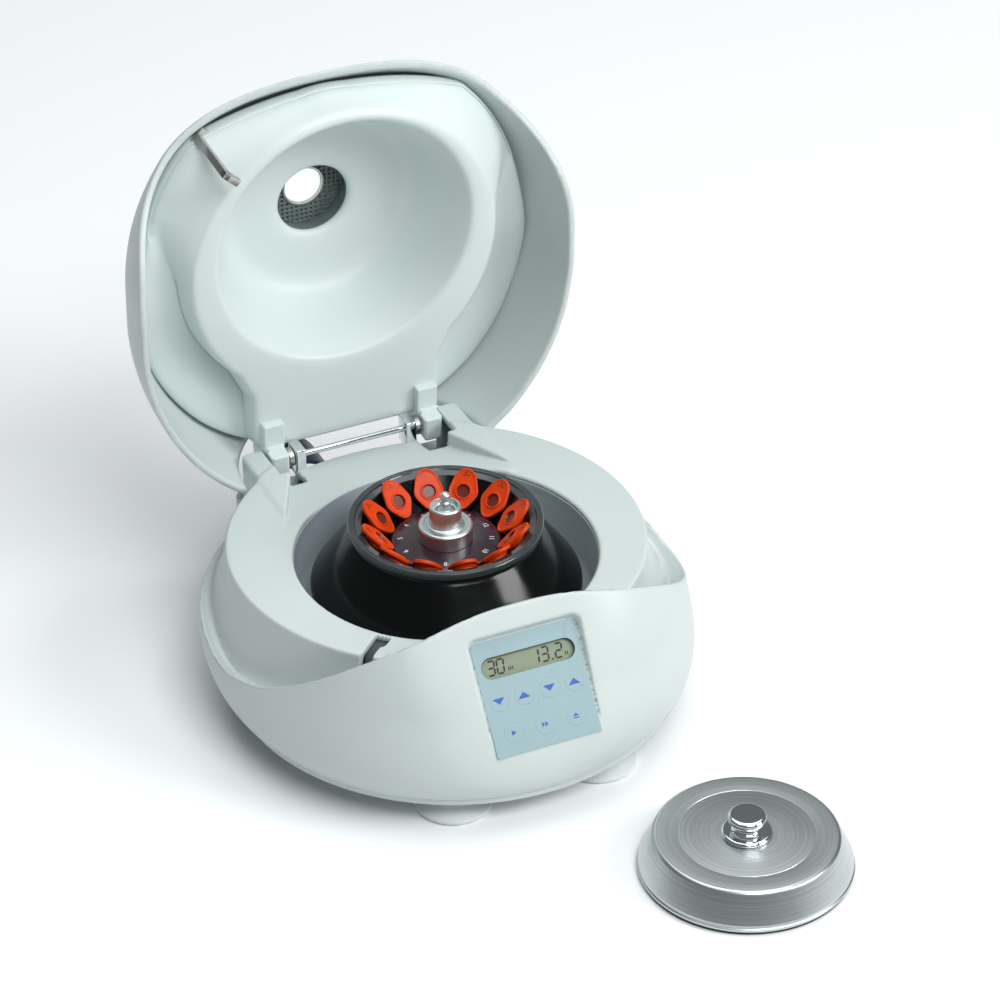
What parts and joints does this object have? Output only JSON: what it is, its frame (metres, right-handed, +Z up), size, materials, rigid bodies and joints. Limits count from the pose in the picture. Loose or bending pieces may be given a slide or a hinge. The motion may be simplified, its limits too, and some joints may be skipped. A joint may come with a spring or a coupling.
{
  "type": "laboratory centrifuge",
  "caption": "Compact benchtop microcentrifuge with hinged domed lid open, tube rotor with ring of sample tubes, sloping keypad, and the loose rotor lid beside it.",
  "frame": {"origin": "point on the rotor's axis in the plane the feet stand on", "axes": "+Z up along the rotor's axis, -Y towards the keypad (front), +Y towards the hinge (rear), +X to the right seen from the front"},
  "size_m": [0.224, 0.3958, 0.2577],
  "materials": {
    "shell": "satin",
    "base_steel": "satin",
    "bowl": "satin",
    "rotor": "gloss",
    "disc": "gloss",
    "tubes": "satin",
    "steel": "brushed",
    "chrome": "polished",
    "iron": "matt",
    "copper": "satin",
    "rubber": "matt",
    "feet": "translucent",
    "dark": "satin",
    "board": "satin",
    "foil": "satin",
    "lcd": "matt",
    "clear": "clear"
  },
  "bodies": {
    "base": {"housing": "shell", "base_plate": "base_steel", "bowl": "bowl", "shaft_seal": "rubber", "feet": "feet", "base_screws": "steel", "motor_case": "base_steel", "motor_flange": "steel", "motor_stator": "copper", "motor_dampers": "rubber", "shaft_bearings": "steel", "speed_sensor": "board", "power_board": "board", "transformer": "iron", "board_posts": "copper", "control_board": "board", "display_module": "lcd", "display_window": "clear", "keypad_foil": "foil", "mains_inlet": "dark", "inlet_hood": "dark", "switch_frame": "dark", "hinge_brackets": "chrome", "hinge_rod": "steel", "hinge_washers": "copper", "lock_frame": "steel", "lock_solenoid": "dark"},
    "rotor": {"motor_shaft": "steel", "rotor_body": "rotor", "rotor_disc": "disc", "sample_tubes": "tubes"},
    "nut": {"rotor_nut": "steel"},
    "lid": {"lid_shell": "shell", "lid_liner": "shell", "window_lens": "clear", "window_ring": "steel", "lid_hook": "steel", "hook_screws": "steel"},
    "lock": {"lock_slide": "steel"},
    "rocker": {"power_rocker": "dark"},
    "loose_cover": {"rotor_cover": "steel", "cover_seal": "rubber"},
    "knob": {"cover_knob": "chrome", "cover_screw": "steel"},
    "key_time_down": {"key_time_down": "foil"},
    "key_time_up": {"key_time_up": "foil"},
    "key_speed_down": {"key_speed_down": "foil"},
    "key_speed_up": {"key_speed_up": "foil"},
    "key_start": {"key_start": "foil"},
    "key_short": {"key_short": "foil"},
    "key_open": {"key_open": "foil"}
  },
  "joints": [
    {"name": "lid_hinge", "type": "hinge", "parent": "base", "child": "lid", "pos_m": [0, 0.1085, 0.0668], "axis": [1, 0, 0], "range_deg": [0, 87]},
    {"name": "rotor_spin", "type": "hinge", "parent": "base", "child": "rotor", "pos_m": [0, 0, 0.06], "axis": [0, 0, 1], "continuous": true},
    {"name": "nut_turn", "type": "hinge", "parent": "rotor", "child": "nut", "pos_m": [0, 0, 0.083], "axis": [0, 0, 1], "continuous": true},
    {"name": "lock_travel", "type": "slide", "parent": "base", "child": "lock", "axis": [0.682, -0.7314, 0], "range_m": [0, 0.004], "stiffness_N_per_m": 300, "springref_m": -0.001},
    {"name": "rocker_tilt", "type": "hinge", "parent": "base", "child": "rocker", "pos_m": [0.0235, 0.118, 0.031], "axis": [0, 0, 1], "range_deg": [0, 16]},
    {"name": "cover_lift", "type": "slide", "parent": "base", "child": "loose_cover", "axis": [0, 0, 1], "range_m": [0, 0.04]},
    {"name": "knob_turn", "type": "hinge", "parent": "loose_cover", "child": "knob", "pos_m": [0.061, -0.1805, 0.02], "axis": [0, 0, 1], "continuous": true},
    {"name": "press_time_down", "type": "slide", "parent": "base", "child": "key_time_down", "axis": [0, 0.809, -0.5878], "range_m": [0, 0.0004], "stiffness_N_per_m": 1500, "springref_m": -0.0003},
    {"name": "press_time_up", "type": "slide", "parent": "base", "child": "key_time_up", "axis": [0, 0.809, -0.5878], "range_m": [0, 0.0004], "stiffness_N_per_m": 1500, "springref_m": -0.0003},
    {"name": "press_speed_down", "type": "slide", "parent": "base", "child": "key_speed_down", "axis": [0, 0.809, -0.5878], "range_m": [0, 0.0004], "stiffness_N_per_m": 1500, "springref_m": -0.0003},
    {"name": "press_speed_up", "type": "slide", "parent": "base", "child": "key_speed_up", "axis": [0, 0.809, -0.5878], "range_m": [0, 0.0004], "stiffness_N_per_m": 1500, "springref_m": -0.0003},
    {"name": "press_start", "type": "slide", "parent": "base", "child": "key_start", "axis": [0, 0.809, -0.5878], "range_m": [0, 0.0004], "stiffness_N_per_m": 1500, "springref_m": -0.0003},
    {"name": "press_short", "type": "slide", "parent": "base", "child": "key_short", "axis": [0, 0.809, -0.5878], "range_m": [0, 0.0004], "stiffness_N_per_m": 1500, "springref_m": -0.0003},
    {"name": "press_open", "type": "slide", "parent": "base", "child": "key_open", "axis": [0, 0.809, -0.5878], "range_m": [0, 0.0004], "stiffness_N_per_m": 1500, "springref_m": -0.0003}
  ]
}
